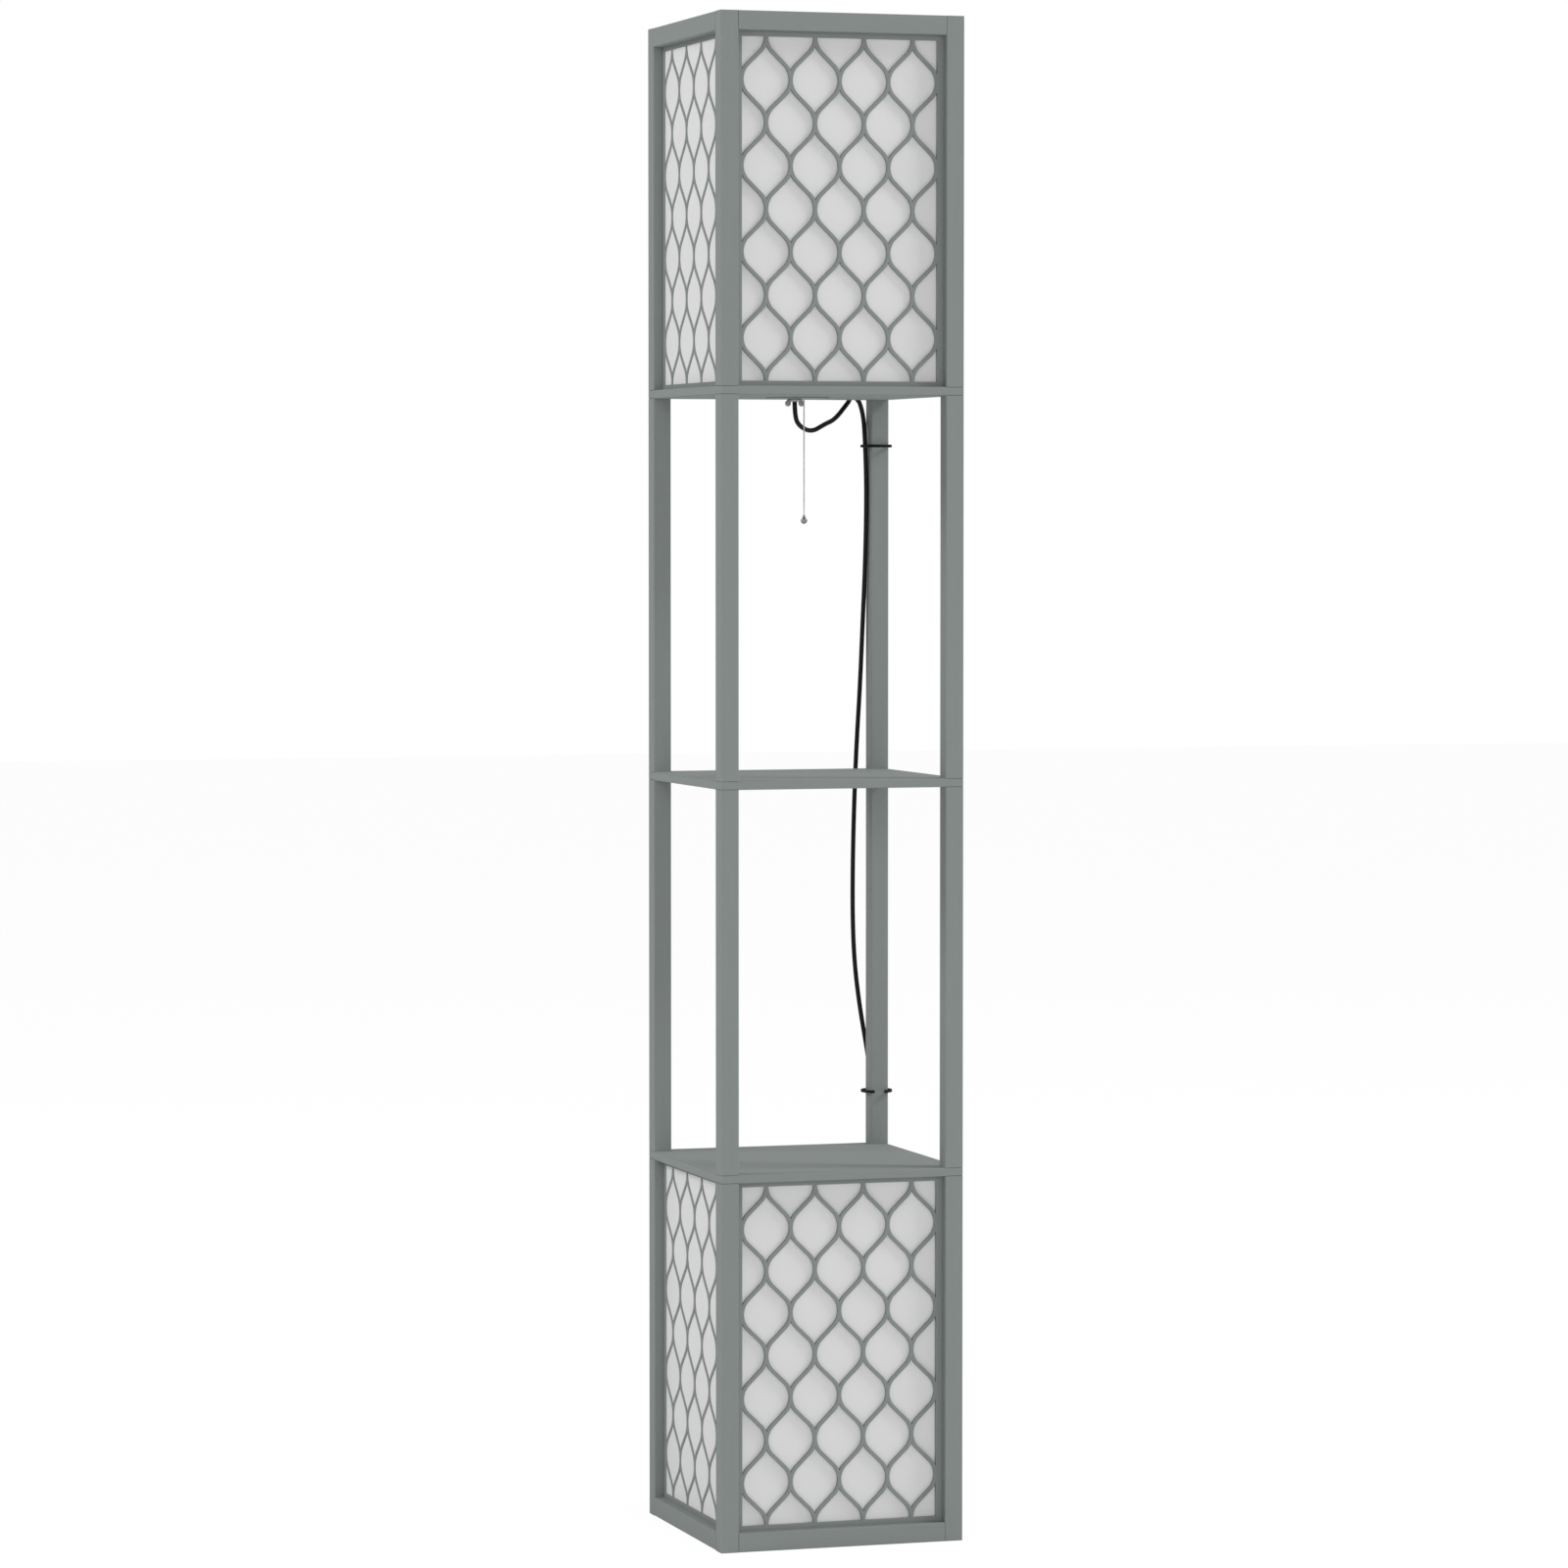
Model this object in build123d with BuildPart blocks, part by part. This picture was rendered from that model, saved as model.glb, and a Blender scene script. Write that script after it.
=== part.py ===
from build123d import *

import os
from math import acos, atan2, cos, degrees, hypot, pi, radians, sin, tan

# A shelf floor lamp in painted wood: a lattice lantern at the head and at the foot, and two
# open shelf tiers between them. Four short posts make each tier, and threaded studs through
# the corners of the boards join tier to tier. A lamp holder with a pull switch stands on the
# upper shelf, inside the upper lantern, and its lead runs down the back right post.
# Millimetres, +Z up, origin on the floor at the middle of the footprint, front towards -Y.

os.makedirs("parts", exist_ok=True)

# Frame
width = 266.0
depth = 266.0
post_side = 19.5
lantern_height = 386.0
tier_height = 400.5
board_thickness = 9.0
rail_height = 20.0
edge_break = 0.8

# Joints of the frame
stud_radius = 3.0
stud_reach = 14.0
stud_sides = 8
tenon_length = 6.0
tenon_thickness = 6.0
tenon_height = 12.0
joint_clearance = 0.1
end_clearance = 0.3

# Lattice panels, held in grooves of the posts and rails. Those at the left and right are thinner.
lattice_thickness = 3.4
side_lattice_thickness = 0.9
lattice_recess = 10.6
groove_depth = 3.0
side_border = 6.8
end_border = 5.3
cells_across = 4
cells_high = 4
bar_width = 3.9
straight_run = 18.5

# Translucent sheet behind each lattice, in the same grooves
liner_thickness = 0.6

# Lamp holder and its mounting
holder_x = -3.0
holder_y = 23.0
nipple_radius = 5.0
nipple_bore_radius = 3.75
nipple_hole_clearance = 0.2
nipple_drop = 4.4
nipple_rise = 9.0
base_radius = 20.0
base_height = 14.0
base_wall = 2.0
base_floor = 3.0
base_chamfer = 2.0
shell_height = 44.0
shell_mouth_radius = 17.5
shell_wall = 2.2
shell_chamfer = 1.5
switch_height = 16.0
contact_size = 12.0
contact_width = 5.0
contact_thickness = 0.6
sleeve_wall = 0.5
sleeve_height = 24.0

# Clamp plate and wing nut under the board
plate_radius = 33.3
plate_thickness = 1.2
plate_setback = 9.0
plate_sides = 48
nut_radius = 6.5
nut_height = 3.0
nut_clearance = 0.06
nut_gap = 0.15
lobe_radius = 2.75
lobe_offset = 8.0
lobe_drop = 6.7
wing_root_radius = 1.3
wing_thickness = 2.2

# Bulb
bulb_radius = 30.0
bulb_neck_radius = 13.0
bulb_shoulder_radius = 30.0
bulb_neck_height = 8.0
cap_radius = 13.1
cap_height = 26.0
cap_tip_radius = 4.5
cap_tip_height = 1.5
bulb_tip_radius = 6.0
neck_bands = 3
globe_bands = 8
turned_sides = 24
cap_cone_height = 4.0
cap_clearance = 0.3

# Pull chain
chain_radius = 0.9
chain_clearance = 0.5
chain_hole_radius = 4.0
chain_travel = 10.0
chain_pivot_drop = 2.0
chain_joint_gap = 0.4
chain_drop = 125.3
ball_radius = 3.5
ball_neck_radius = 1.5
ball_neck_top = 5.6
ball_tip_radius = 1.0
ball_bands = 6
ball_sides = 16
guide_radius = 3.5
guide_rise = 1.0
guide_grip = 2.0
guide_roof = 1.5

# Cord, plug and ties
cord_radius = 2.5
cord_sides = 8
bush_length = 6.0
tie_inner_radius = 14.8
tie_wall = 2.4
tie_height = 3.2
tie_offset = 1.3
ring_level = 1155.2
clip_level = 452.7
clip_gap = 10.7
clip_turn = -5.0
tie_sides = 32
coil_x = 20.0
coil_y = 177.0
coil_outer_radius = 32.0
coil_spacing = 0.5
coil_half_turns = 2
plug_tail = 14.0
band_thickness = 0.6
band_width = 4.0
band_clearance = 0.1
sleeve_length = 20.0
sleeve_start_radius = 3.4
sleeve_end_radius = 5.5
plug_length = 34.0
plug_width = 26.0
plug_height = 17.0
plug_nose_width = 22.0
plug_nose_height = 15.0
plug_corner = 4.0
pin_radius = 2.0
pin_length = 19.0
pin_spacing = 18.6

# Levels, from the floor up
lower_shelf_z = lantern_height
lower_tier_z = lower_shelf_z + board_thickness
middle_shelf_z = lower_tier_z + tier_height
upper_tier_z = middle_shelf_z + board_thickness
upper_shelf_z = upper_tier_z + tier_height
upper_lantern_z = upper_shelf_z + board_thickness
height = upper_lantern_z + lantern_height

# Centre lines and inner faces
post_x = (width - post_side) / 2
post_y = (depth - post_side) / 2
inner_x = width / 2 - post_side
inner_y = depth / 2 - post_side
liner_room = liner_thickness + 3 * joint_clearance
groove_width = lattice_thickness + liner_room
side_groove_width = side_lattice_thickness + liner_room
groove_x = width / 2 - lattice_recess + joint_clearance - side_groove_width / 2
groove_y = depth / 2 - lattice_recess + joint_clearance - groove_width / 2
corners = {"front_left": (-1, -1), "front_right": (1, -1), "back_left": (-1, 1), "back_right": (1, 1)}


def save(piece, name):
    """Label a finished piece and write it to its own file."""
    piece.part.label = name
    export_step(piece.part, f"parts/{name}.step")


def arc_sections(middle, radius, start, end, bands):
    """Radii and levels of a globe between two angles of latitude, in bands of equal angle."""
    angles = [start + (end - start) * step / bands for step in range(bands + 1)]
    return [(radius * cos(angle), middle + radius * sin(angle)) for angle in angles]


def turned(plane, profile, sides):
    """A turned solid drawn with flats: a band of flat faces from each radius and level of the
    profile to the next, and a flat polygon at each end."""
    angles = [2 * pi * side / sides for side in range(sides)]
    rings = []
    for radius, level in profile:
        corners_at_level = [(radius * cos(angle), radius * sin(angle), level) for angle in angles]
        rings.append([plane.from_local_coords(corner) for corner in corners_at_level])
    outlines = [rings[0], rings[-1]]
    for lower, upper in zip(rings, rings[1:]):
        for side in range(sides):
            outlines.append((lower[side - 1], lower[side], upper[side], upper[side - 1]))
    return Solid(Shell([Face(Wire.make_polygon(outline)) for outline in outlines]))


# Posts: square strips with broken edges. A bore for a stud is in each end that meets a board,
# and lantern posts have a groove for each lattice panel and a mortise for each rail.
bore_radius = stud_radius + joint_clearance
bore_depth = stud_reach + end_clearance
tiers = {
    "lower_lantern": (0.0, lower_shelf_z),
    "lower_tier": (lower_tier_z, middle_shelf_z),
    "upper_tier": (upper_tier_z, upper_shelf_z),
    "upper_lantern": (upper_lantern_z, height),
}
groove_spans = {
    "lower_lantern": (rail_height - groove_depth, lower_shelf_z),
    "upper_lantern": (upper_lantern_z, height - rail_height + groove_depth),
}
rail_levels = {"lower_lantern": rail_height / 2, "upper_lantern": height - rail_height / 2}

for tier, (bottom, top) in tiers.items():
    for corner, (side_x, side_y) in corners.items():
        with BuildPart() as post:
            with BuildSketch(Plane.XY.offset(bottom)):
                with Locations((side_x * post_x, side_y * post_y)):
                    Rectangle(post_side, post_side)
            extrude(amount=top - bottom)
            chamfer(post.edges().filter_by(Axis.Z), edge_break)
            if bottom > 0:
                with BuildSketch(Plane.XY.offset(bottom)):
                    with Locations((side_x * post_x, side_y * post_y)):
                        RegularPolygon(bore_radius, stud_sides)
                extrude(amount=bore_depth, mode=Mode.SUBTRACT)
            if top < height:
                with BuildSketch(Plane.XY.offset(top)):
                    with Locations((side_x * post_x, side_y * post_y)):
                        RegularPolygon(bore_radius, stud_sides)
                extrude(amount=-bore_depth, mode=Mode.SUBTRACT)
            if tier in groove_spans:
                low, high = groove_spans[tier]
                level = (low + high) / 2
                reach = groove_depth / 2
                with Locations((side_x * (inner_x + reach), side_y * groove_y, level)):
                    Box(groove_depth, groove_width, high - low, mode=Mode.SUBTRACT)
                with Locations((side_x * groove_x, side_y * (inner_y + reach), level)):
                    Box(side_groove_width, groove_depth, high - low, mode=Mode.SUBTRACT)
                slot = tenon_length + end_clearance
                slot_thickness = tenon_thickness + 2 * joint_clearance
                slot_height = tenon_height + 2 * joint_clearance
                level = rail_levels[tier]
                with Locations((side_x * (inner_x + slot / 2), side_y * post_y, level)):
                    Box(slot, slot_thickness, slot_height, mode=Mode.SUBTRACT)
                with Locations((side_x * post_x, side_y * (inner_y + slot / 2), level)):
                    Box(slot_thickness, slot, slot_height, mode=Mode.SUBTRACT)
        save(post, f"{tier}_post_{corner}")

# Rails: one between each pair of posts, with a stub tenon at each end and a groove that
# holds the edge of the lattice panel.
rail_places = {
    "lower_lantern": (rail_height / 2, rail_height - groove_depth / 2),
    "upper_lantern": (height - rail_height / 2, height - rail_height + groove_depth / 2),
}
for tier, (level, groove_level) in rail_places.items():
    for side, sign in {"front": -1, "back": 1}.items():
        with BuildPart() as rail:
            with Locations((0, sign * post_y, level)):
                Box(2 * inner_x, post_side, rail_height)
            chamfer(rail.edges().filter_by(Axis.X), edge_break)
            with Locations((0, sign * post_y, level)):
                Box(2 * (inner_x + tenon_length), tenon_thickness, tenon_height)
            with Locations((0, sign * groove_y, groove_level)):
                Box(2 * inner_x, groove_width, groove_depth, mode=Mode.SUBTRACT)
        save(rail, f"{tier}_rail_{side}")
    for side, sign in {"left": -1, "right": 1}.items():
        with BuildPart() as rail:
            with Locations((sign * post_x, 0, level)):
                Box(post_side, 2 * inner_y, rail_height)
            chamfer(rail.edges().filter_by(Axis.Y), edge_break)
            with Locations((sign * post_x, 0, level)):
                Box(tenon_thickness, 2 * (inner_y + tenon_length), tenon_height)
            with Locations((sign * groove_x, 0, groove_level)):
                Box(side_groove_width, 2 * inner_y, groove_depth, mode=Mode.SUBTRACT)
        save(rail, f"{tier}_rail_{side}")

# Boards: each runs to the outer corners, between the tiers, and has a hole for each stud.
# The upper one also has a hole for the holder's nipple and one for the pull chain.
boards = {"lower_shelf": lower_shelf_z, "middle_shelf": middle_shelf_z, "upper_shelf": upper_shelf_z}
for name, bottom in boards.items():
    with BuildPart() as board:
        with BuildSketch(Plane.XY.offset(bottom)):
            Rectangle(width, depth)
        extrude(amount=board_thickness)
        chamfer(board.edges(), edge_break)
        with BuildSketch(Plane.XY.offset(bottom)):
            with GridLocations(2 * post_x, 2 * post_y, 2, 2):
                RegularPolygon(bore_radius, stud_sides)
        extrude(amount=board_thickness, mode=Mode.SUBTRACT)
        if bottom == upper_shelf_z:
            with Locations((holder_x, holder_y, upper_lantern_z)):
                Hole(nipple_radius + nipple_hole_clearance, depth=board_thickness)
            with Locations((0, 0, upper_lantern_z)):
                Hole(chain_hole_radius, depth=board_thickness)
    save(board, name)

# Studs: threaded bars, drawn with flats, one through each corner of each board.
with BuildPart() as joining_studs:
    for bottom in boards.values():
        with BuildSketch(Plane.XY.offset(bottom - stud_reach)):
            with GridLocations(2 * post_x, 2 * post_y, 2, 2):
                RegularPolygon(stud_radius, stud_sides)
        extrude(amount=board_thickness + 2 * stud_reach)
save(joining_studs, "joining_studs")


# Lattice: one sheet with ogee gaps. Each bar swings from one line of nodes to the next through
# two equal bends with a straight between them, and two bars run as one past each node.
def gap_outline(pitch_x, pitch_z):
    """Corners of one gap about its middle. A bend is centred beside its node, and is drawn as the
    corner where its tangents meet; the gap's cusps are where two bars part."""
    run_x = pitch_x / 2
    run_z = pitch_z / 2
    bend = (run_x**2 + run_z**2 - straight_run**2) / (4 * run_x)
    slope = atan2(run_x - 2 * bend, run_z) + atan2(2 * bend, straight_run)
    outside = bend + bar_width / 2
    inside = bend - bar_width / 2
    cusp = acos(bend / outside)
    middle = (cusp + slope) / 2
    reach = outside / cos((slope - cusp) / 2)
    cusp_corner = (0, outside * sin(cusp) - run_z)
    outer_corner = (bend - reach * cos(middle), reach * sin(middle) - run_z)
    inner_corner = (run_x - bend + inside, -inside * tan(slope / 2))
    right = [outer_corner, inner_corner]
    right += [(x, -z) for x, z in reversed(right)]
    left = [(-x, z) for x, z in reversed(right)]
    return [cusp_corner] + right + [(0, -cusp_corner[1])] + left


def lattice_gaps(opening_width, opening_height):
    """All the gaps of one panel, trimmed by its border. Every other row is half a cell over."""
    clear_width = opening_width - 2 * side_border
    clear_height = opening_height - 2 * end_border
    pitch_x = clear_width / cells_across
    pitch_z = clear_height / cells_high
    outline = gap_outline(pitch_x, pitch_z)
    with BuildSketch() as gaps:
        for row in range(2 * cells_high + 1):
            shift = (row % 2) / 2
            level = row * pitch_z / 2 - clear_height / 2
            for column in range(cells_across + 1 - row % 2):
                with Locations(((column + shift) * pitch_x - clear_width / 2, level)):
                    Polygon(*outline, align=None)
        Rectangle(clear_width, clear_height, mode=Mode.INTERSECT)
    return gaps.sketch


opening_height = lantern_height - rail_height
gaps_across = lattice_gaps(2 * inner_x, opening_height)
gaps_along = lattice_gaps(2 * inner_y, opening_height)
edge_reach = groove_depth - end_clearance
panel_sides = {
    "front": ((0, -1, 0), depth / 2, inner_x, gaps_across, lattice_thickness),
    "back": ((0, 1, 0), depth / 2, inner_x, gaps_across, lattice_thickness),
    "left": ((-1, 0, 0), width / 2, inner_y, gaps_along, side_lattice_thickness),
    "right": ((1, 0, 0), width / 2, inner_y, gaps_along, side_lattice_thickness),
}
panel_levels = {
    "lower_lantern": (rail_height + opening_height / 2, -1),
    "upper_lantern": (upper_lantern_z + opening_height / 2, 1),
}
for tier, (level, rail_side) in panel_levels.items():
    for side, (outward, face, inner, gaps, thickness) in panel_sides.items():
        normal = Vector(*outward)
        face_centre = normal * (face - lattice_recess) + Vector(0, 0, level)
        panel_plane = Plane(origin=face_centre, x_dir=Vector(0, 0, 1).cross(normal), z_dir=normal)
        with BuildPart() as lattice:
            with BuildSketch(panel_plane):
                with Locations((0, rail_side * edge_reach / 2)):
                    Rectangle(2 * (inner + edge_reach), opening_height + edge_reach)
                add(gaps, mode=Mode.SUBTRACT)
            extrude(amount=-thickness)
        save(lattice, f"{tier}_lattice_{side}")

# Liners: four sheets of translucent plastic in each lantern, one behind each lattice.
for tier, (level, rail_side) in panel_levels.items():
    with BuildPart() as liner:
        for outward, face, inner, gaps, thickness in panel_sides.values():
            normal = Vector(*outward)
            sheet_face = face - lattice_recess - thickness - joint_clearance
            face_centre = normal * sheet_face + Vector(0, 0, level)
            sheet_plane = Plane(origin=face_centre, x_dir=Vector(0, 0, 1).cross(normal), z_dir=normal)
            with BuildSketch(sheet_plane):
                with Locations((0, rail_side * edge_reach / 2)):
                    Rectangle(2 * (inner + edge_reach), opening_height + edge_reach)
            extrude(amount=-liner_thickness)
    save(liner, f"{tier}_liner")

# Lamp holder: a moulded base and shell round a switch block. It stands on the upper shelf on a
# threaded nipple, which a wing nut pulls tight from below. What the lantern hides is drawn with
# flats, to keep its mesh light.
holder_axis = Plane(origin=(holder_x, holder_y, upper_lantern_z), x_dir=(1, 0, 0), z_dir=(0, 0, 1))

with BuildPart() as nipple:
    with BuildSketch(holder_axis.offset(-board_thickness - nipple_drop)):
        Circle(nipple_radius)
        Circle(nipple_bore_radius, mode=Mode.SUBTRACT)
    extrude(amount=nipple_drop + board_thickness + nipple_rise)
save(nipple, "nipple")

with BuildPart() as holder_base:
    with BuildSketch(holder_axis):
        RegularPolygon(base_radius, turned_sides)
    extrude(amount=base_height)
    chamfer(holder_base.edges().group_by(Axis.Z)[0], base_chamfer)
    with BuildSketch(holder_axis.offset(base_floor)):
        RegularPolygon(base_radius - base_wall, turned_sides)
    extrude(amount=base_height - base_floor, mode=Mode.SUBTRACT)
    with BuildSketch(holder_axis):
        RegularPolygon(nipple_radius + joint_clearance, turned_sides)
    extrude(amount=base_floor, mode=Mode.SUBTRACT)
save(holder_base, "holder_base")

switch_top = base_height + switch_height
shell_top = base_height + shell_height
with BuildPart() as holder_shell:
    with BuildSketch(holder_axis.offset(base_height)):
        RegularPolygon(base_radius, turned_sides)
    extrude(amount=switch_height + shell_wall)
    chamfer(holder_shell.edges().group_by(Axis.Z)[-1], shell_chamfer)
    with BuildSketch(holder_axis.offset(switch_top)):
        RegularPolygon(shell_mouth_radius, turned_sides)
    extrude(amount=shell_top - switch_top)
    with BuildSketch(holder_axis.offset(base_height)):
        RegularPolygon(base_radius - base_wall, turned_sides)
    extrude(amount=switch_height, mode=Mode.SUBTRACT)
    with BuildSketch(holder_axis.offset(switch_top)):
        RegularPolygon(shell_mouth_radius - shell_wall, turned_sides)
    extrude(amount=shell_top - switch_top, mode=Mode.SUBTRACT)
save(holder_shell, "holder_shell")

with BuildPart() as switch_block:
    with BuildSketch(holder_axis.offset(base_height)):
        RegularPolygon(base_radius - base_wall - joint_clearance, turned_sides)
    extrude(amount=switch_height)
save(switch_block, "switch_block")

with BuildPart() as centre_contact:
    with BuildSketch(holder_axis.offset(switch_top)):
        Rectangle(contact_size, contact_width)
    extrude(amount=contact_thickness)
save(centre_contact, "centre_contact")

sleeve_bore = cap_radius + cap_clearance
with BuildPart() as screw_shell:
    with BuildSketch(holder_axis.offset(switch_top)):
        RegularPolygon(sleeve_bore + sleeve_wall, turned_sides)
        RegularPolygon(sleeve_bore, turned_sides, mode=Mode.SUBTRACT)
    extrude(amount=sleeve_height)
save(screw_shell, "screw_shell")

# The chain guide is a snout on the holder's side, over the chain's hole in the board.
chain_distance = hypot(holder_x, holder_y)
guide_z = upper_lantern_z + base_height + guide_rise
guide_depth = chain_travel + guide_grip + end_clearance
with BuildPart() as chain_guide:
    with BuildSketch(Plane.XY.offset(guide_z)):
        with Locations(Location((0, 0, 0), (0, 0, degrees(atan2(holder_y, holder_x))))):
            Rectangle(chain_distance, 2 * guide_radius, align=(Align.MIN, Align.CENTER))
        Circle(guide_radius)
        with Locations((holder_x, holder_y)):
            Circle(base_radius + joint_clearance, mode=Mode.SUBTRACT)
    extrude(amount=guide_depth + guide_roof)
    with BuildSketch(Plane.XY.offset(guide_z)):
        Circle(chain_radius + chain_clearance)
    extrude(amount=guide_depth, mode=Mode.SUBTRACT)
save(chain_guide, "chain_guide")

# Clamp plate: a thin disc that spreads the wing nut's pull. Its middle is nearer to the chain
# than the nipple is, so the chain passes through it too.
plate_z = upper_shelf_z - plate_thickness
with BuildPart() as clamp_plate:
    with BuildSketch(Plane.XY.offset(plate_z)):
        with Locations((holder_x, holder_y - plate_setback)):
            RegularPolygon(plate_radius, plate_sides)
        with Locations((holder_x, holder_y)):
            RegularPolygon(nipple_radius + nipple_hole_clearance, turned_sides, mode=Mode.SUBTRACT)
        RegularPolygon(chain_hole_radius, turned_sides, mode=Mode.SUBTRACT)
    extrude(amount=plate_thickness)
save(clamp_plate, "clamp_plate")

# Wing nut, its wings pointing down on each side of the cord.
nut_top = plate_z - nut_gap
wing_plane = Plane(origin=(holder_x, holder_y, upper_shelf_z), x_dir=(1, 0, 0), z_dir=(0, -1, 0))
wing_root_drop = plate_thickness + nut_gap + wing_root_radius
with BuildPart() as wing_nut:
    with BuildSketch(Plane.XY.offset(nut_top - nut_height)):
        with Locations((holder_x, holder_y)):
            Circle(nut_radius)
            Circle(nipple_radius + nut_clearance, mode=Mode.SUBTRACT)
    extrude(amount=nut_height)
    for side in (-1, 1):
        with BuildSketch(wing_plane):
            with Locations((side * (nipple_radius + nut_clearance + wing_root_radius), -wing_root_drop)):
                Circle(wing_root_radius)
            with Locations((side * lobe_offset, -lobe_drop)):
                Circle(lobe_radius)
            make_hull()
        extrude(amount=wing_thickness / 2, both=True)
save(wing_nut, "wing_nut")

# Bulb: a screw cap and a frosted envelope, whose neck swells into the globe.
tip_z = switch_top + contact_thickness + cap_clearance
cone_z = tip_z + cap_tip_height
glass_z = tip_z + cap_height
cap_profile = [
    (cap_tip_radius, tip_z),
    (cap_tip_radius, cone_z),
    (cap_radius, cone_z + cap_cone_height),
    (cap_radius, glass_z),
]
with BuildPart() as bulb_cap:
    add(turned(holder_axis, cap_profile, turned_sides))
save(bulb_cap, "bulb_cap")

swell_z = glass_z + bulb_neck_height
swell_axis = bulb_neck_radius + bulb_shoulder_radius
shoulder_turn = acos(swell_axis / (bulb_shoulder_radius + bulb_radius))
globe_z = swell_z + (bulb_shoulder_radius + bulb_radius) * sin(shoulder_turn)
neck_arc = arc_sections(swell_z, bulb_shoulder_radius, 0, shoulder_turn, neck_bands)
globe_end = acos(bulb_tip_radius / bulb_radius)
globe_arc = arc_sections(globe_z, bulb_radius, -shoulder_turn, globe_end, globe_bands)
glass_profile = [(bulb_neck_radius, glass_z)]
glass_profile += [(swell_axis - radius, level) for radius, level in neck_arc]
glass_profile += globe_arc[1:]
with BuildPart() as bulb_glass:
    add(turned(holder_axis, glass_profile, turned_sides))
save(bulb_glass, "bulb_glass")

# Pull chain. The upper length slides in the guide and the board's hole; the lower one swings
# from it just under the board and carries the ball.
chain_pivot_z = upper_shelf_z - chain_pivot_drop
chain_top_z = guide_z + guide_depth - end_clearance
with BuildPart() as chain_upper:
    with BuildSketch(Plane.XY.offset(chain_pivot_z)):
        Circle(chain_radius)
    extrude(amount=chain_top_z - chain_pivot_z)
save(chain_upper, "chain_upper")

ball_z = chain_pivot_z - chain_drop - ball_radius
with BuildPart() as chain_lower:
    with BuildSketch(Plane.XY.offset(ball_z + ball_neck_top)):
        Circle(chain_radius)
    extrude(amount=chain_pivot_z - chain_joint_gap - ball_z - ball_neck_top)
save(chain_lower, "chain_lower")

ball_start = -acos(ball_tip_radius / ball_radius)
ball_end = acos(ball_neck_radius / ball_radius)
ball_profile = arc_sections(0, ball_radius, ball_start, ball_end, ball_bands)
ball_profile.append((ball_neck_radius, ball_neck_top))
with BuildPart() as pull_ball:
    add(turned(Plane.XY.offset(ball_z), ball_profile, ball_sides))
save(pull_ball, "pull_ball")

# Cord: it leaves a bush in the nipple, loops down, passes out over the back edge of the upper
# shelf, and falls along the back right post to the floor, where its spare length is coiled.
exit_z = upper_shelf_z - nipple_drop
with BuildPart() as cord_bush:
    with BuildSketch(Plane.XY.offset(exit_z)):
        with Locations((holder_x, holder_y)):
            Circle(nipple_bore_radius - joint_clearance)
    extrude(amount=bush_length)
save(cord_bush, "cord_bush")

lower_turn_z = cord_radius + band_thickness + band_clearance
upper_turn_z = lower_turn_z + 2 * cord_radius + coil_spacing
lead_points = [
    (holder_x, holder_y, exit_z),
    (-3, 23, 1189),
    (2, 28.5, 1176),
    (24, 50, 1168.5),
    (48, 76, 1178),
    (68, 101, 1186.5),
    (86, 126, 1191),
    (92, 144, 1203),
    (94, 155, 1209),
    (104, 157.5, 1211.5),
    (112.5, 154.5, 1205.5),
    (113, 146.5, 1193.5),
    (110.4, 135.5, 1181),
    (110.5, 126.5, 1166),
    (110.6, 124.5, 1140),
    (110.7, 122.5, 1095),
    (110.2, 125, 1030),
    (108.5, 129, 962),
    (107.3, 134.5, 893),
    (105.5, 141, 830),
    (103.5, 142.5, 770),
    (102, 143, 705),
    (101.6, 142.5, 640),
    (103.5, 141.3, 590),
    (108.5, 139, 545),
    (115, 137, 505),
    (120.5, 136, 470),
    (121.6, 135.9, 436),
    (121.5, 141, 408),
    (119.5, 142, 352),
    (115, 141.5, 290),
    (110.5, 142.5, 225),
    (106.5, 142, 160),
    (103, 143, 98),
    (98, 143.5, 45),
    (84, 144, 14),
    (62, 144.6, 4.2),
    (42, 145, 3.2),
    (coil_x + 2 * cord_radius, coil_y - coil_outer_radius, lower_turn_z),
]
corner_share = 0.45
lead_vectors = [Vector(*point) for point in lead_points]
lead_radii = []
for before, corner, after in zip(lead_vectors, lead_vectors[1:], lead_vectors[2:]):
    arriving = corner - before
    leaving = after - corner
    turn = radians(arriving.get_angle(leaving))
    lead_radii.append(corner_share * min(arriving.length, leaving.length) / tan(turn / 2))
print("lead radii:", [round(radius, 1) for radius in lead_radii])

with BuildPart() as cord_lead:
    with BuildLine() as lead_route:
        FilletPolyline(*lead_points, radius=lead_radii)
    with BuildSketch(Plane(origin=lead_points[0], x_dir=(1, 0, 0), z_dir=(0, 0, -1))):
        RegularPolygon(cord_radius, cord_sides)
    lead_wire = lead_route.wires()[0]
    sweep(path=lead_wire)
save(cord_lead, "cord_lead")
lead_length = lead_wire.length
section_area = cord_sides * cord_radius**2 * sin(2 * pi / cord_sides) / 2
lead_error = cord_lead.part.volume / (lead_length * section_area) - 1
print(f"lead length {lead_length:.0f}, volume off by {100 * lead_error:.2f} %")

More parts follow.
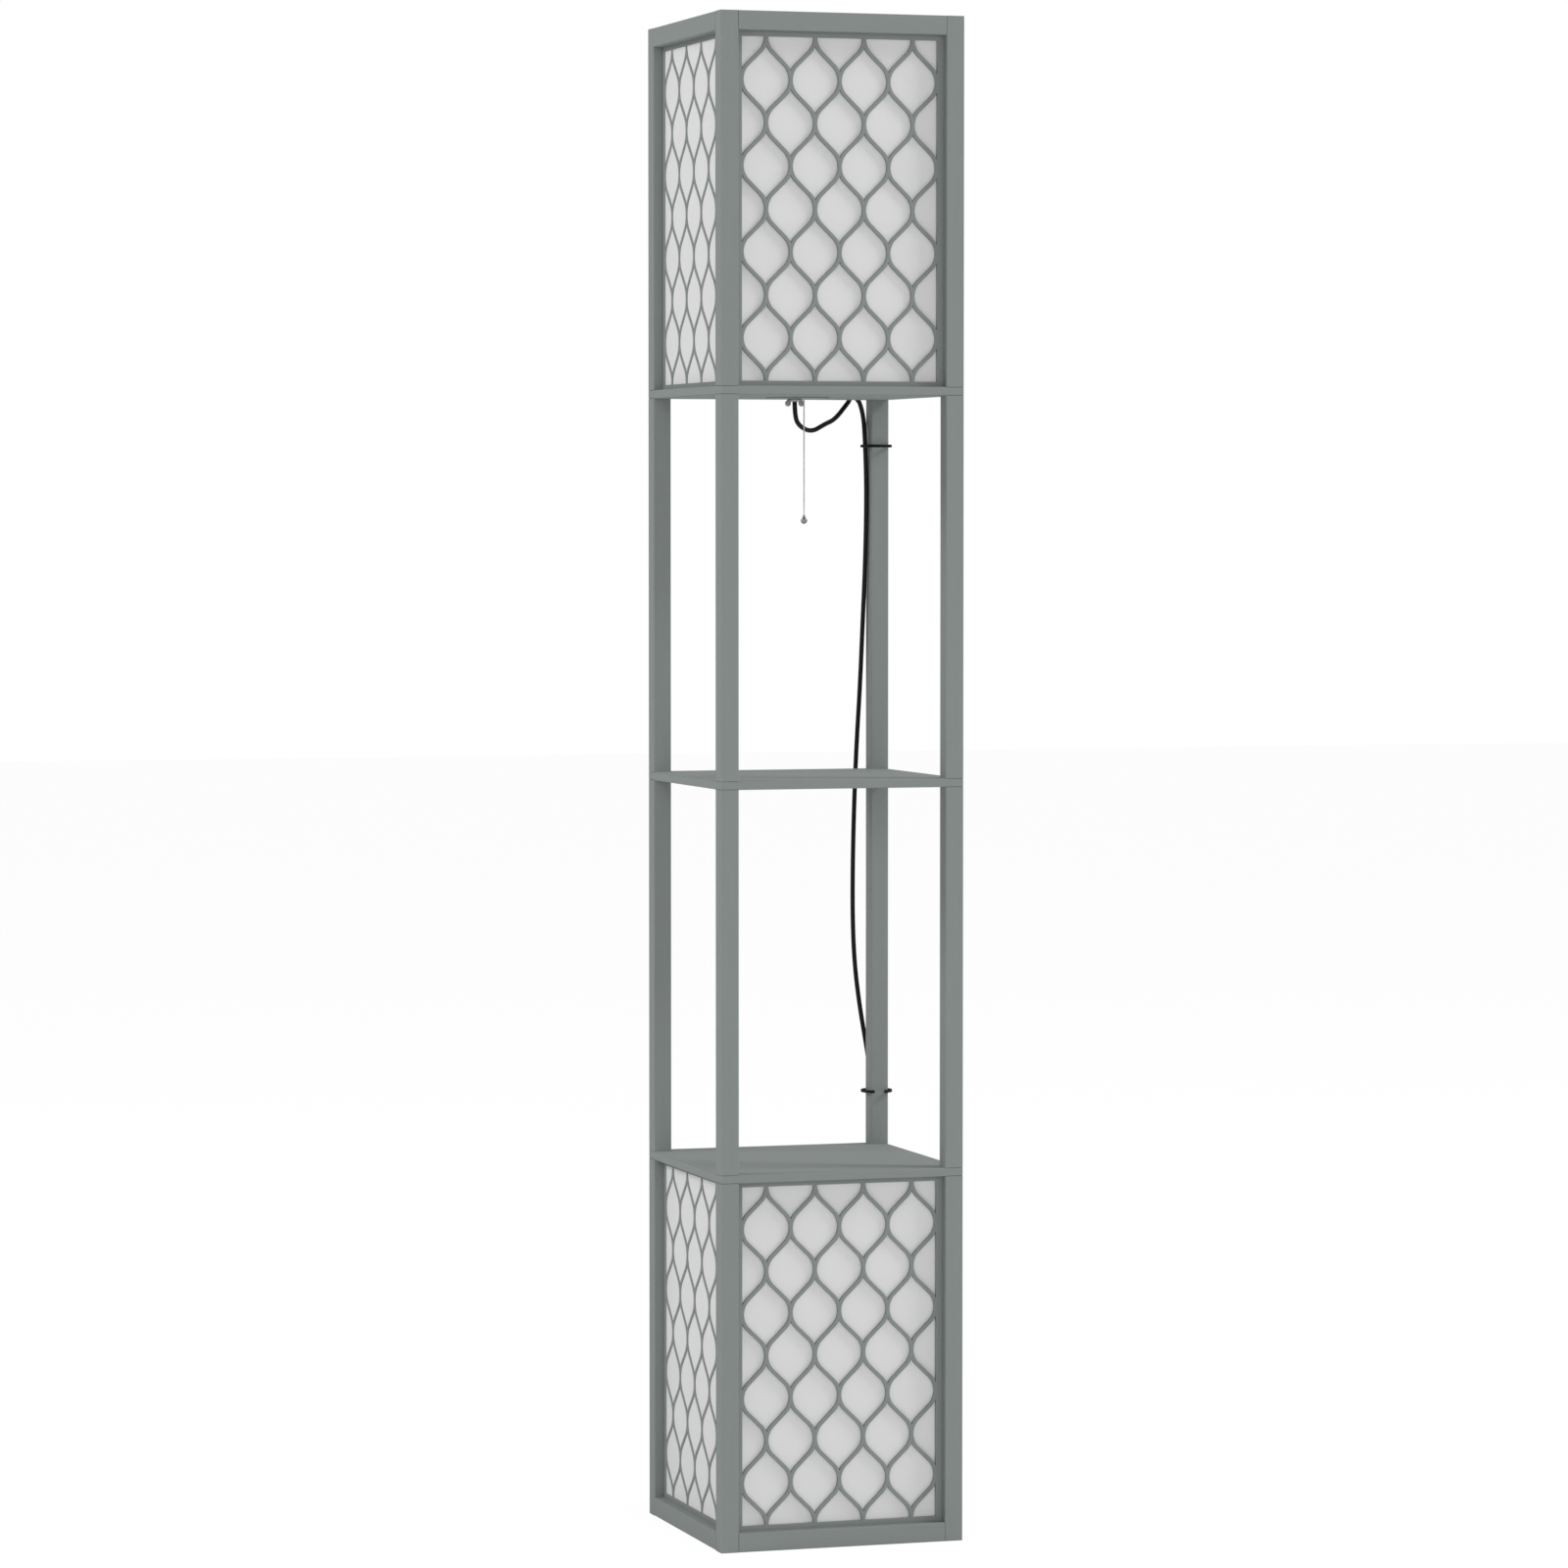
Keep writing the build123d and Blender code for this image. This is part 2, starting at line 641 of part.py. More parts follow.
# Coil: half turns that spiral in on the lower layer, climb in the half turn where the spiral
# reverses, and spiral out again on top.
spiral_step = (2 * cord_radius + coil_spacing) / 2
lower_turns = [(coil_outer_radius - spiral_step * step, 0) for step in range(coil_half_turns)]
climb_turn = [(coil_outer_radius - spiral_step * coil_half_turns, upper_turn_z - lower_turn_z)]
upper_turns = lower_turns[::-1]
turn_start = Vector(coil_x, coil_y - coil_outer_radius, lower_turn_z)
side = -1
with BuildPart() as cord_coil:
    with BuildLine() as coil_route:
        Line(turn_start + Vector(2 * cord_radius, 0, 0), turn_start)
        for radius, climb in lower_turns + climb_turn + upper_turns:
            across = Vector(0, -2 * side * radius, climb)
            turn_end = turn_start + across
            apex = (turn_start + turn_end) / 2 + Vector(side * across.length / 2, 0, 0)
            ThreePointArc(turn_start, apex, turn_end)
            turn_start = turn_end
            side = -side
        Line(turn_start, turn_start + Vector(plug_tail, 0, 0))
    coil_wire = coil_route.wires()[0]
    with BuildSketch(Plane(origin=coil_wire @ 0, x_dir=(0, 0, 1), z_dir=(-1, 0, 0))):
        RegularPolygon(cord_radius, cord_sides)
    sweep(path=coil_wire)
save(cord_coil, "cord_coil")

coil_length = coil_wire.length
samples = [coil_wire @ (step / 400) for step in range(401)]
near = int(400 * 6 * cord_radius / coil_length)
coil_gap = min(
    (samples[first] - samples[second]).length
    for first in range(401)
    for second in range(first + near, 401)
)
print(f"coil length {coil_length:.0f}, least gap to itself {coil_gap - 2 * cord_radius:.2f}")

# Coil band: a flat strap round the whole bundle, on the side away from the plug.
bundle_inner = coil_outer_radius - spiral_step * coil_half_turns - cord_radius
bundle_outer = coil_outer_radius + cord_radius
bundle_width = bundle_outer - bundle_inner + 2 * band_clearance
bundle_height = upper_turn_z - lower_turn_z + 2 * cord_radius + 2 * band_clearance
with BuildPart() as coil_band:
    band_x = coil_x - (bundle_inner + bundle_outer) / 2
    band_z = (lower_turn_z + upper_turn_z) / 2
    with BuildSketch(Plane(origin=(band_x, coil_y, band_z), x_dir=(1, 0, 0), z_dir=(0, -1, 0))):
        Rectangle(bundle_width + 2 * band_thickness, bundle_height + 2 * band_thickness)
        Rectangle(bundle_width, bundle_height, mode=Mode.SUBTRACT)
    extrude(amount=band_width / 2, both=True)
save(coil_band, "coil_band")

# Plug: a moulded body with a tapered sleeve for the cord and two round pins.
plug_plane = Plane(origin=coil_wire @ 1, x_dir=(0, 1, 0), z_dir=(1, 0, 0))
with BuildPart() as plug_body:
    add(turned(plug_plane, [(sleeve_start_radius, 0), (sleeve_end_radius, sleeve_length)], ball_sides))
    with BuildSketch(plug_plane.offset(sleeve_length)) as nose:
        Rectangle(plug_nose_width, plug_nose_height)
        chamfer(nose.vertices(), plug_corner)
    with BuildSketch(plug_plane.offset(sleeve_length + plug_length)) as face:
        Rectangle(plug_width, plug_height)
        chamfer(face.vertices(), plug_corner)
    loft()
save(plug_body, "plug_body")

with BuildPart() as plug_pins:
    with BuildSketch(plug_plane.offset(sleeve_length + plug_length)):
        with GridLocations(pin_spacing, 0, 2, 1):
            Circle(pin_radius)
    extrude(amount=pin_length)
save(plug_pins, "plug_pins")

# Ties: both hold the cord to the back right post. The upper is a closed ring and the lower an
# open clip, whose mouth faces the front.
ties = {
    "cord_ring": (ring_level, post_x - tie_offset, post_y, 0.0),
    "cord_clip": (clip_level, post_x, post_y + tie_offset, clip_gap),
}
for name, (level, tie_x, tie_y, mouth) in ties.items():
    with BuildPart() as tie:
        with BuildSketch(Plane.XY.offset(level - tie_height / 2)):
            with Locations(Location((tie_x, tie_y, 0), (0, 0, clip_turn))):
                RegularPolygon(tie_inner_radius + tie_wall, tie_sides)
                RegularPolygon(tie_inner_radius, tie_sides, mode=Mode.SUBTRACT)
                if mouth > 0:
                    mouth_side = (Align.CENTER, Align.MAX)
                    Rectangle(mouth, 2 * tie_inner_radius, align=mouth_side, mode=Mode.SUBTRACT)
        extrude(amount=tie_height)
    save(tie, name)
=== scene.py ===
import math

import bmesh
import bpy
import numpy as np
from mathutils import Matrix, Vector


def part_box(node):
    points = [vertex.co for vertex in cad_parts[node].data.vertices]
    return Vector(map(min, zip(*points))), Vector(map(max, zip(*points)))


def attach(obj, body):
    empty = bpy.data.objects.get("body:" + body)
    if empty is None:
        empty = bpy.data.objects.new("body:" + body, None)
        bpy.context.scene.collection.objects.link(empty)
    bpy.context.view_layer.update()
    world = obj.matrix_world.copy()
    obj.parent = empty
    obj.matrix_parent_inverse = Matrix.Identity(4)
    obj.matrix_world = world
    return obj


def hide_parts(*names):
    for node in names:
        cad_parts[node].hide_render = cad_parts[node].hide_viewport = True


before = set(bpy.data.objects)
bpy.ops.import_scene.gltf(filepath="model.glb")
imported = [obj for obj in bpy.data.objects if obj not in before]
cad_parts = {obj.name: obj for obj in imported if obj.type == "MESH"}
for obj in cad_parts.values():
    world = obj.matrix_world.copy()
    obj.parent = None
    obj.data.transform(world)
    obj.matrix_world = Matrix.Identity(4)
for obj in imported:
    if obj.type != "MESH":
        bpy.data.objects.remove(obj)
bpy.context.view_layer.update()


# Camera. It stands six metres off, to the left of the lamp's front and a little above its middle,
# with a long lens, and looks slightly down.
PHOTO_SIDE = 1600
FOCAL_PIXELS = 6057.2
SENSOR_WIDTH = 36.0
CAMERA_PLACE = (-1.9302, -6.0023, 1.0777)
CAMERA_YAW = 17.634
CAMERA_PITCH = -2.571

lens = bpy.data.cameras.new("camera")
lens.sensor_width = SENSOR_WIDTH
lens.lens = FOCAL_PIXELS * SENSOR_WIDTH / PHOTO_SIDE
camera = bpy.data.objects.new("camera", lens)
camera.location = CAMERA_PLACE
camera.rotation_euler = (math.pi / 2 + math.radians(CAMERA_PITCH), 0, math.radians(-CAMERA_YAW))
bpy.context.scene.collection.objects.link(camera)
bpy.context.scene.camera = camera
bpy.context.scene.view_settings.view_transform = "Standard"


# Posts, rails and shelves: strips and boards of pine, sanded, filled and sprayed with a matt grey
# enamel. The wood's grain still shows through it as faint long ripples, under the fine orange
# peel of the spray. The CAD solids have the right shape and stay.
PAINT_LIGHT = "#868C8A"
PAINT_DARK = "#818785"
GRAIN_WIDTH = 0.0022
GRAIN_LENGTH = 0.090
GRAIN_DEPTH = 0.00006
PEEL_SPACING = 0.0014
PEEL_DEPTH = 0.00003


def linear(code):
    """Linear colour with full alpha from an sRGB hex value."""
    parts = np.array([int(code[start:start + 2], 16) for start in (1, 3, 5)]) / 255
    return (*np.where(parts <= 0.04045, parts / 12.92, ((parts + 0.055) / 1.055) ** 2.4), 1.0)


def feed(node, **inputs):
    """Gives a shader node its inputs. Each is named by its socket's identifier, or its name with
    _ for a space, and is a value or a socket to link from."""
    for key, value in inputs.items():
        socket = next(s for s in node.inputs if key in (s.identifier, s.name.replace(" ", "_")))
        if isinstance(value, bpy.types.NodeSocket):
            node.id_data.links.new(value, socket)
        else:
            socket.default_value = value


def add_node(tree, kind, settings=None, **inputs):
    """A new shader node with those settings as its own properties, and inputs as for feed."""
    made = tree.nodes.new("ShaderNode" + kind)
    for key, value in (settings or {}).items():
        setattr(made, key, value)
    feed(made, **inputs)
    return made


def new_material(name, **inputs):
    """A material whose Principled shader has those inputs, as for feed."""
    made = bpy.data.materials.new(name)
    made.use_nodes = True
    feed(made.node_tree.nodes["Principled BSDF"], **inputs)
    return made


def painted_wood(name, grain_axis):
    """Enamel over wood whose grain runs along the axis with that number. A noise stretched along
    the grain gives its tone and ripples, and a finer one gives the orange peel."""
    made = new_material(name, Roughness=0.75, IOR=1.45)
    tree = made.node_tree
    place = add_node(tree, "TexCoord").outputs["Object"]
    squeeze = [1.0, 1.0, 1.0]
    squeeze[grain_axis] = GRAIN_WIDTH / GRAIN_LENGTH
    along = add_node(tree, "Mapping", Vector=place, Scale=squeeze).outputs["Vector"]
    grain = add_node(
        tree, "TexNoise", Vector=along, Scale=1 / GRAIN_WIDTH, Detail=3.0, Roughness=0.6,
    ).outputs["Fac"]
    peel = add_node(
        tree, "TexNoise", Vector=place, Scale=1 / PEEL_SPACING, Detail=1.0,
    ).outputs["Fac"]
    tone = add_node(
        tree, "Mix", {"data_type": "RGBA"},
        Factor_Float=grain, A_Color=linear(PAINT_DARK), B_Color=linear(PAINT_LIGHT),
    )
    ripples = add_node(tree, "Bump", Height=grain, Distance=GRAIN_DEPTH, Strength=0.35)
    skin = add_node(
        tree, "Bump",
        Height=peel, Distance=PEEL_DEPTH, Strength=0.5, Normal=ripples.outputs["Normal"],
    )
    feed(
        tree.nodes["Principled BSDF"],
        Base_Color=tone.outputs[2], Normal=skin.outputs["Normal"],
    )
    return made


def finish_node(name, material):
    """Gives a CAD solid its material."""
    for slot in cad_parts[name].material_slots:
        slot.material = material


paint_across = painted_wood("enamel on pine, grain along X", 0)
paint_deep = painted_wood("enamel on pine, grain along Y", 1)
paint_upright = painted_wood("enamel on pine, grain along Z", 2)
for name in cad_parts:
    if "_post_" in name:
        finish_node(name, paint_upright)
    elif name.endswith("_shelf") or name.endswith(("_rail_front", "_rail_back")):
        finish_node(name, paint_across)
    elif name.endswith(("_rail_left", "_rail_right")):
        finish_node(name, paint_deep)


# Studs: threaded steel bars through the corners of the shelves, zinc plated, which gives them a
# soft grey shine. They are hidden once the posts are screwed together.
zinc_plate = new_material("zinc-plated steel", Base_Color=linear("#B9BABB"), Metallic=1.0, Roughness=0.38)
finish_node("joining_studs", zinc_plate)


# Lattice panels: one in each side of both lanterns, cut from thin board with a router and sprayed
# with the same enamel as the frame. Two bars run as one past each node and swing apart between
# nodes, which leaves rows of ogee gaps. The boards at the left and right are thinner.
CELLS = 4
SIDE_BORDER = 0.0068
END_BORDER = 0.0053
BAR_WIDTH = 0.0039
STRAIGHT_RUN = 0.0185
MERGE_STEPS = 5
BEND_STEPS = 10
ROUTED_EDGE = 0.00035
ROUTED_STEPS = 2
ROUTED_CORNER = 60
SAME_PLACE = 0.000002
DECIMALS = 8


def arc_points(middle_x, middle_z, side, radius, angles):
    """Points at side times radius, turned by each angle, from the middle."""
    reach = side * radius
    return np.stack([middle_x + reach * np.cos(angles), middle_z + reach * np.sin(angles)], axis=-1)


def grid_quads(x, z):
    """Corners of the cells of a grid with those lines, as an array of quads."""
    low_x, low_z = np.meshgrid(x[:-1], z[:-1])
    high_x, high_z = np.meshgrid(x[1:], z[1:])
    corners = [(low_x, low_z), (high_x, low_z), (high_x, high_z), (low_x, high_z)]
    quads = np.stack([np.stack(corner, axis=-1) for corner in corners], axis=-2)
    return quads.reshape(-1, 4, 2)


def lattice_quads(clear_width, clear_height, outer_x, outer_z):
    """A lattice's face as quads in its own plane, about the middle of its clear opening. A quarter
    of a gap's rim is a grid from the gap's edge to the bar's middle line: an arc about a point
    beside one node, a straight, and an arc about a point beside the next. A second grid fills the
    space between two bars that part, up to the line between the cells. Mirrored quarters round
    every gap inside the opening, and a border with the same points along it, make the face."""
    pitch_x, pitch_z = clear_width / CELLS, clear_height / CELLS
    run_x, run_z = pitch_x / 2, pitch_z / 2
    bend = (run_x**2 + run_z**2 - STRAIGHT_RUN**2) / (4 * run_x)
    slope = math.atan2(run_x - 2 * bend, run_z) + math.atan2(2 * bend, STRAIGHT_RUN)
    cusp = math.acos(bend / (bend + BAR_WIDTH / 2))
    merging = np.linspace(0, cusp, MERGE_STEPS)
    turning = np.linspace(cusp, slope, BEND_STEPS)
    leaving = np.concatenate([merging, turning[1:]])
    arriving = turning[::-1]
    edge = np.concatenate([
        arc_points(run_x - bend, 0, 1, bend - BAR_WIDTH / 2, leaving),
        arc_points(bend, run_z, -1, bend + BAR_WIDTH / 2, arriving),
    ])
    middle = np.concatenate([
        arc_points(run_x - bend, 0, 1, bend, leaving),
        arc_points(bend, run_z, -1, bend, arriving),
    ])
    between = np.stack([np.full(MERGE_STEPS, run_x), bend * np.tan(merging)], axis=-1)
    bands = [(edge, middle), (middle[:MERGE_STEPS], between)]
    quarter = np.concatenate([
        np.stack([a[:-1], a[1:], b[1:], b[:-1]], axis=1) for a, b in bands
    ])

    gap_middles = np.array([
        ((column + row % 2 / 2) * pitch_x - clear_width / 2, row * run_z - clear_height / 2)
        for row in range(2 * CELLS + 1)
        for column in range(CELLS + 1 - row % 2)
    ])
    sides = np.array([(1, 1), (1, -1), (-1, 1), (-1, -1)])
    quarter_middles = gap_middles[:, None] + sides * (pitch_x / 4, pitch_z / 4)
    inside = (abs(quarter_middles) < (clear_width / 2, clear_height / 2)).all(axis=-1)
    mirrored = gap_middles[:, None, None, None] + sides[:, None, None] * quarter
    gaps = mirrored[inside].reshape(-1, 4, 2)

    columns = np.arange(CELLS + 1) * pitch_x - clear_width / 2
    rows = np.arange(1, 2 * CELLS, 2) * run_z - clear_height / 2
    from_column = np.array([edge[0, 0], run_x])
    line_x = np.concatenate([columns[:, None] + from_column, columns[:, None] - from_column], axis=None)
    line_x = np.append(line_x[abs(line_x) < clear_width / 2], [-clear_width / 2, clear_width / 2])
    line_z = np.concatenate([rows[:, None] + between[:, 1], rows[:, None] - between[:, 1]], axis=None)
    line_z = np.append(line_z, [-clear_height / 2, clear_height / 2])
    x = np.concatenate([outer_x[:1], np.unique(line_x.round(DECIMALS)), outer_x[1:]])
    z = np.concatenate([outer_z[:1], np.unique(line_z.round(DECIMALS)), outer_z[1:]])
    return np.concatenate([
        gaps,
        grid_quads(x, z[:2]),
        grid_quads(x, z[-2:]),
        grid_quads(x[:2], z[1:-1]),
        grid_quads(x[-2:], z[1:-1]),
    ])


def add_piece(name, points, faces, material, body, node, sharp_angle=None):
    """A new piece in place of a CAD node, from an (n, 3) array of points in metres and an (m, 4)
    array of their numbers. Doubled points are merged, which closes seams and poles, and the faces
    are turned outwards. With a sharp angle, in degrees, edges flatter than it are smooth."""
    mesh = bpy.data.meshes.new(name)
    mesh.from_pydata(points.tolist(), [], faces.tolist())
    work = bmesh.new()
    work.from_mesh(mesh)
    bmesh.ops.remove_doubles(work, verts=work.verts, dist=SAME_PLACE)
    bmesh.ops.recalc_face_normals(work, faces=work.faces)
    work.to_mesh(mesh)
    work.free()
    if sharp_angle:
        mesh.shade_smooth()
        mesh.set_sharp_from_angle(angle=math.radians(sharp_angle))
    mesh.materials.append(material)
    piece = bpy.data.objects.new(name, mesh)
    bpy.context.scene.collection.objects.link(piece)
    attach(piece, body)
    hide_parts(node)
    return piece


openings = {
    "lower_lantern": (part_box("lower_lantern_rail_front")[1][2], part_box("lower_shelf")[0][2]),
    "upper_lantern": (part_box("upper_shelf")[1][2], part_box("upper_lantern_rail_front")[0][2]),
}
for tier, (opening_low, opening_high) in openings.items():
    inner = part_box(f"{tier}_post_front_right")[0][0]
    level = (opening_low + opening_high) / 2
    for side in ("front", "back", "left", "right"):
        node = f"{tier}_lattice_{side}"
        low, high = np.array(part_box(node))
        across, through = (0, 1) if side in ("front", "back") else (1, 0)
        quads = lattice_quads(
            2 * (inner - SIDE_BORDER), opening_high - opening_low - 2 * END_BORDER,
            [low[across], high[across]], [low[2] - level, high[2] - level],
        )
        points = np.empty((len(quads) * 4, 3))
        points[:, across] = quads[..., 0].ravel()
        points[:, through] = (low[through] + high[through]) / 2
        points[:, 2] = quads[..., 1].ravel() + level
        corners = np.arange(len(points)).reshape(-1, 4)
        panel = add_piece(
            f"{tier}_ogee_{side}", points, corners, paint_upright, "frame", node,
        )
        board = panel.modifiers.new("board", "SOLIDIFY")
        board.thickness = high[through] - low[through]
        board.offset = 0.0
        routed = panel.modifiers.new("routed edge", "BEVEL")
        routed.width = ROUTED_EDGE
        routed.segments = ROUTED_STEPS
        routed.limit_method = "ANGLE"
        routed.angle_limit = math.radians(ROUTED_CORNER)


# Liners: a sheet of white PVC film behind each lattice, in the same grooves. Its matt face is
# faintly mottled, as the film lets some of the light through.
FILM_CLOUD_SPACING = 0.030

film = new_material("matt white PVC film", Roughness=0.62, IOR=1.53)
tree = film.node_tree
place = add_node(tree, "TexCoord").outputs["Object"]
clouds = add_node(tree, "TexNoise", Vector=place, Scale=1 / FILM_CLOUD_SPACING, Detail=4.0)
tone = add_node(
    tree, "Mix", {"data_type": "RGBA"},
    Factor_Float=clouds.outputs["Fac"], A_Color=linear("#DBDBDB"), B_Color=linear("#DEDEDE"),
)
feed(tree.nodes["Principled BSDF"], Base_Color=tone.outputs[2])
for tier in openings:
    finish_node(f"{tier}_liner", film)


# Lamp holder: a base and a shell round the switch block, moulded in black phenolic that is half
# glossy with a fine grain. The shell has fine upright grip ribs below its mouth, and a screw shell
# pressed from bright brass inside it.
ROUND_STEPS = 96
CREASE = 40


def rough_skin(material, spacing, depth, detail, strength):
    """Fine bumps over a material, of that spacing and depth in metres."""
    tree = material.node_tree
    place = add_node(tree, "TexCoord").outputs["Object"]
    grit = add_node(tree, "TexNoise", Vector=place, Scale=1 / spacing, Detail=detail)
    skin = add_node(tree, "Bump", Height=grit.outputs["Fac"], Distance=depth, Strength=strength)
    feed(tree.nodes["Principled BSDF"], Normal=skin.outputs["Normal"])


phenolic = new_material("black phenolic moulding", Base_Color=linear("#1E1D1C"), Roughness=0.32)
rough_skin(phenolic, spacing=0.0008, depth=0.00002, detail=2.0, strength=0.4)
brass = new_material("pressed brass", Base_Color=linear("#C9A45C"), Metallic=1.0, Roughness=0.28)


def grid_faces(rows, columns, ring=False):
    """Point numbers of the quads of a grid: each row closes on itself, and in a ring the last row
    joins the first."""
    number = np.arange(rows * columns).reshape(rows, columns)
    if ring:
        number = np.vstack([number, number[:1]])
    number = np.hstack([number, number[:, :1]])
    corners = [number[:-1, :-1], number[:-1, 1:], number[1:, 1:], number[1:, :-1]]
    return np.stack(corners, axis=-1).reshape(-1, 4)


def turned(profile, axis_place, steps, ring=False, wave=None):
    """Points and faces of a turned form: the radii and levels of a profile, carried round an
    upright axis. wave(angle, level) is added to each radius, and a ring's profile is closed."""
    profile = np.array(profile)
    angle = np.linspace(0, 2 * np.pi, steps, endpoint=False)
    radius = np.repeat(profile[:, :1], steps, axis=1)
    level = np.repeat(profile[:, 1:], steps, axis=1)
    if wave:
        radius = radius + wave(angle[None], level) * (radius > 0)
    x = axis_place[0] + radius * np.cos(angle)
    y = axis_place[1] + radius * np.sin(angle)
    points = np.stack([x, y, level], axis=-1).reshape(-1, 3)
    return points, grid_faces(len(profile), steps, ring)


def thread(pitch, depth, low, high):
    """A wave for turned, which makes a rounded screw thread between two levels: half its depth
    times the sine of a full turn for each pitch of height, less the angle."""
    def ridge(angle, level):
        height = depth / 2 * np.sin(2 * np.pi * level / pitch - angle)
        return np.where((level >= low) & (level <= high), height, 0)
    return ridge


# The foot's pairs are steps in from the base's radius and up from its underside.
BASE_WALL = 0.002
BASE_FLOOR = 0.003
BASE_FOOT = ((0.0018, 0), (0.0005, 0.0006), (0, 0.0018))
RIM_BREAK = 0.0004
NIPPLE_HOLE = 0.0051
base_low, base_high = np.array(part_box("holder_base"))
holder_axis = (base_low + base_high)[:2] / 2
base_radius = (base_high[0] - base_low[0]) / 2
points, faces = turned(
    [
        (NIPPLE_HOLE, base_low[2]),
        *[(base_radius - inset, base_low[2] + rise) for inset, rise in BASE_FOOT],
        (base_radius, base_high[2] - RIM_BREAK),
        (base_radius - RIM_BREAK, base_high[2]),
        (base_radius - BASE_WALL, base_high[2]),
        (base_radius - BASE_WALL, base_low[2] + BASE_FLOOR),
        (NIPPLE_HOLE, base_low[2] + BASE_FLOOR),
    ],
    holder_axis, ROUND_STEPS, ring=True,
)
add_piece("holder_foot", points, faces, phenolic, "frame", "holder_base", CREASE)

# The shoulder starts with a step in from the base's radius, and ends with a step out from the
# mouth's radius. Both have their height above the waist.
SWITCH_HEIGHT = 0.016
SHELL_MOUTH = 0.0175
SHELL_WALL = 0.0022
SHOULDER_START = (0.0008, 0.0014)
SHOULDER_END = (0.0004, 0.0024)
MOUTH_BAND = 0.0024
MOUTH_BREAK = 0.0006
RIB_START = 0.0034
RIB_END = 0.003
RIB_COUNT = 48
RIB_SIDES = 4
RIB_HEIGHT = 0.00035
shell_low, shell_high = np.array(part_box("holder_shell"))
waist = shell_low[2] + SWITCH_HEIGHT
rib_low, rib_high = waist + RIB_START, shell_high[2] - RIB_END


def ribs(angle, level):
    """Upright ribs between the shell's shoulder and its mouth: their height times the cosine of
    the angle times their count."""
    height = RIB_HEIGHT * np.cos(RIB_COUNT * angle)
    return np.where((level >= rib_low) & (level <= rib_high), height, 0)


points, faces = turned(
    [
        (base_radius - BASE_WALL, shell_low[2]),
        (base_radius - RIM_BREAK, shell_low[2]),
        (base_radius - RIB_HEIGHT, shell_low[2] + RIM_BREAK),
        (base_radius - RIB_HEIGHT, waist),
        (base_radius - SHOULDER_START[0], waist + SHOULDER_START[1]),
        (SHELL_MOUTH + SHOULDER_END[0], waist + SHOULDER_END[1]),
        (SHELL_MOUTH - RIB_HEIGHT, rib_low),
        (SHELL_MOUTH - RIB_HEIGHT, rib_high),
        (SHELL_MOUTH, shell_high[2] - MOUTH_BAND),
        (SHELL_MOUTH, shell_high[2] - MOUTH_BREAK),
        (SHELL_MOUTH - MOUTH_BREAK, shell_high[2]),
        (SHELL_MOUTH - SHELL_WALL, shell_high[2]),
        (SHELL_MOUTH - SHELL_WALL, waist),
        (base_radius - BASE_WALL, waist),
    ],
    holder_axis, RIB_SIDES * RIB_COUNT, ring=True, wave=ribs,
)
add_piece("holder_sleeve", points, faces, phenolic, "frame", "holder_shell", CREASE)
for name in ("switch_block", "chain_guide"):
    finish_node(name, phenolic)
finish_node("centre_contact", brass)

THREAD_PITCH = 0.00363
THREAD_DEPTH = 0.0005
THREAD_LEVELS = 60
THREAD_CREASE = 60
SCREW_WALL = 0.0003
screw_low, screw_high = np.array(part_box("screw_shell"))
screw_radius = (screw_high[0] - screw_low[0] - THREAD_DEPTH) / 2
screw_levels = np.linspace(screw_low[2], screw_high[2], THREAD_LEVELS)
points, faces = turned(
    [(screw_radius, level) for level in screw_levels]
    + [(screw_radius - SCREW_WALL, level) for level in screw_levels[::-1]],
    holder_axis, ROUND_STEPS, ring=True,
    wave=thread(THREAD_PITCH, THREAD_DEPTH / 2, screw_low[2], screw_high[2]),
)
add_piece("screw_sleeve", points, faces, brass, "frame", "screw_shell", THREAD_CREASE)


# Nipple: a length of zinc-plated tube with a fine thread. The holder stands on its upper end, and
# its lower end comes out of the wing nut round the cord.
NIPPLE_PITCH = 0.001
NIPPLE_THREAD = 0.00044
NIPPLE_LEVELS = 140
NIPPLE_BORE = 0.00375
nipple_low, nipple_high = np.array(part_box("nipple"))
nipple_radius = (nipple_high[0] - nipple_low[0] - NIPPLE_THREAD) / 2
nipple_levels = np.linspace(nipple_low[2], nipple_high[2], NIPPLE_LEVELS)
points, faces = turned(
    [
        (NIPPLE_BORE, nipple_low[2]),
        *[(nipple_radius, level) for level in nipple_levels],
        (NIPPLE_BORE, nipple_high[2]),
    ],
    holder_axis, ROUND_STEPS, ring=True,
    wave=thread(NIPPLE_PITCH, NIPPLE_THREAD, nipple_levels[1], nipple_levels[-2]),
)
add_piece("threaded_tube", points, faces, zinc_plate, "frame", "nipple", THREAD_CREASE)


# Clamp plate: a disc of thin steel between the shelf and the wing nut. Its grey enamel is smooth,
# and glossier than the paint on the wood.
plate_enamel = new_material("grey enamel on steel", Base_Color=linear("#7C8280"), Roughness=0.42)
finish_node("clamp_plate", plate_enamel)


# Wing nut: a zinc die casting with a plated, slightly grainy skin. Each wing is a flat drop with a
# rounded rim that leans out and down from the hub.
NUT_BORE = 0.00506
# The pairs are steps in from the hub's radius, and up from its foot or down from its top.
NUT_FOOT = ((0.0012, 0), (0.0003, 0.0009))
NUT_TOP = ((0, 0.0006), (0.0003, 0))
WING_ROOT = 0.0013
WING_LOBE = 0.0032
WING_HALF_THICKNESS = 0.0011
WING_RIM = 0.0009
LOBE_STEPS = 24
ROOT_STEPS = 12
RIM_STEPS = 6

casting = new_material("plated zinc casting", Base_Color=linear("#A4A5A5"), Metallic=1.0, Roughness=0.45)
rough_skin(casting, spacing=0.0006, depth=0.00004, detail=3.0, strength=0.5)

